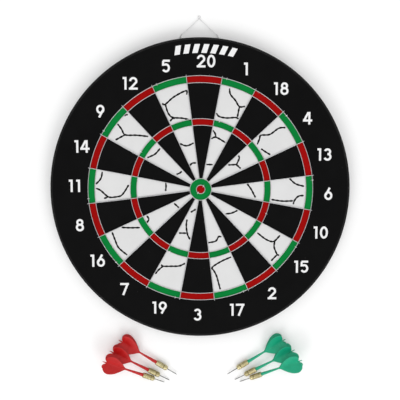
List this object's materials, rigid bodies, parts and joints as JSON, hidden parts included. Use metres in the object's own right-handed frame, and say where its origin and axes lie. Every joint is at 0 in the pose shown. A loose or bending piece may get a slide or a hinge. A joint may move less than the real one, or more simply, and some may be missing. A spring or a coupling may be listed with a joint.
{
  "type": "dartboard set",
  "caption": "Wound-paper dartboard with a printed face, a stapled wire spider and a wire hanger, laid flat with two sets of brass steel-needle darts.",
  "frame": {"origin": "centre of the board's flat back face, which lies on the table or against the wall", "axes": "+Z out of the printed face, +Y from the board's centre to the wire hanger at its top, +X to the right of someone facing the board"},
  "size_m": [0.45, 0.5639, 0.0363],
  "materials": {
    "wound_paper": "strip paper wound in a coil, matt",
    "back_paper": "black paper, matt",
    "edge_tape": "black paper tape, satin",
    "white_paper": "white coated paper, semi-matt",
    "black_ink": "black printing ink on coated paper, semi-matt",
    "red_ink": "red printing ink on coated paper, semi-matt",
    "green_ink": "green printing ink on coated paper, semi-matt",
    "spider_wire": "bright drawn steel wire",
    "staple_wire": "galvanised staple wire",
    "hanger_wire": "bright drawn steel wire",
    "brass": "turned and knurled brass, bright",
    "needle_steel": "ground steel needle",
    "red_plastic": "moulded polypropylene, slightly translucent",
    "green_plastic": "moulded polypropylene, slightly translucent"
  },
  "bodies": {
    "board": {"paper_core": "wound_paper", "back_sheet": "back_paper", "edge_band": "edge_tape", "cover_sheet": "white_paper", "black_print": "black_ink", "red_doubles": "red_ink", "green_doubles": "green_ink", "red_trebles": "red_ink", "green_trebles": "green_ink", "outer_bull": "green_ink", "inner_bull": "red_ink", "double_outer_wire": "spider_wire", "double_inner_wire": "spider_wire", "treble_outer_wire": "spider_wire", "treble_inner_wire": "spider_wire", "bull_wire": "spider_wire", "radial_web": "spider_wire", "spider_staple_01": "staple_wire", "spider_staple_02": "staple_wire", "spider_staple_03": "staple_wire", "spider_staple_04": "staple_wire", "spider_staple_05": "staple_wire", "spider_staple_06": "staple_wire", "spider_staple_07": "staple_wire", "spider_staple_08": "staple_wire", "spider_staple_09": "staple_wire", "spider_staple_10": "staple_wire", "spider_staple_11": "staple_wire", "spider_staple_12": "staple_wire", "spider_staple_13": "staple_wire", "spider_staple_14": "staple_wire", "spider_staple_15": "staple_wire", "spider_staple_16": "staple_wire", "hanger_staple_left": "staple_wire", "hanger_staple_right": "staple_wire"},
    "hanger": {"hanger_wire": "hanger_wire"},
    "red_dart_1": {"red_dart_1_needle": "needle_steel", "red_dart_1_barrel": "brass", "red_dart_1_flight": "red_plastic"},
    "red_dart_2": {"red_dart_2_needle": "needle_steel", "red_dart_2_barrel": "brass", "red_dart_2_flight": "red_plastic"},
    "red_dart_3": {"red_dart_3_needle": "needle_steel", "red_dart_3_barrel": "brass", "red_dart_3_flight": "red_plastic"},
    "green_dart_1": {"green_dart_1_needle": "needle_steel", "green_dart_1_barrel": "brass", "green_dart_1_flight": "green_plastic"},
    "green_dart_2": {"green_dart_2_needle": "needle_steel", "green_dart_2_barrel": "brass", "green_dart_2_flight": "green_plastic"},
    "green_dart_3": {"green_dart_3_needle": "needle_steel", "green_dart_3_barrel": "brass", "green_dart_3_flight": "green_plastic"}
  },
  "joints": [
    {"name": "hanger_swing", "type": "hinge", "parent": "board", "child": "hanger", "pos_m": [-0.002, 0.2274, 0.0042], "axis": [1, 0, 0], "range_deg": [0, 97]},
    {"name": "red_dart_3_lift", "type": "slide", "parent": "board", "child": "red_dart_3", "axis": [-0.4692, -0.7513, 0.4642], "range_m": [0, 0.08]},
    {"name": "red_dart_2_lift", "type": "slide", "parent": "red_dart_3", "child": "red_dart_2", "axis": [-0.4621, -0.7711, 0.4381], "range_m": [0, 0.08]},
    {"name": "red_dart_1_lift", "type": "slide", "parent": "red_dart_2", "child": "red_dart_1", "axis": [-0.3811, -0.8002, 0.4631], "range_m": [0, 0.08]},
    {"name": "green_dart_3_lift", "type": "slide", "parent": "board", "child": "green_dart_3", "axis": [0.4692, -0.7513, 0.4642], "range_m": [0, 0.08]},
    {"name": "green_dart_2_lift", "type": "slide", "parent": "green_dart_3", "child": "green_dart_2", "axis": [0.4621, -0.7711, 0.4381], "range_m": [0, 0.08]},
    {"name": "green_dart_1_lift", "type": "slide", "parent": "green_dart_2", "child": "green_dart_1", "axis": [0.3811, -0.8002, 0.4631], "range_m": [0, 0.08]}
  ]
}
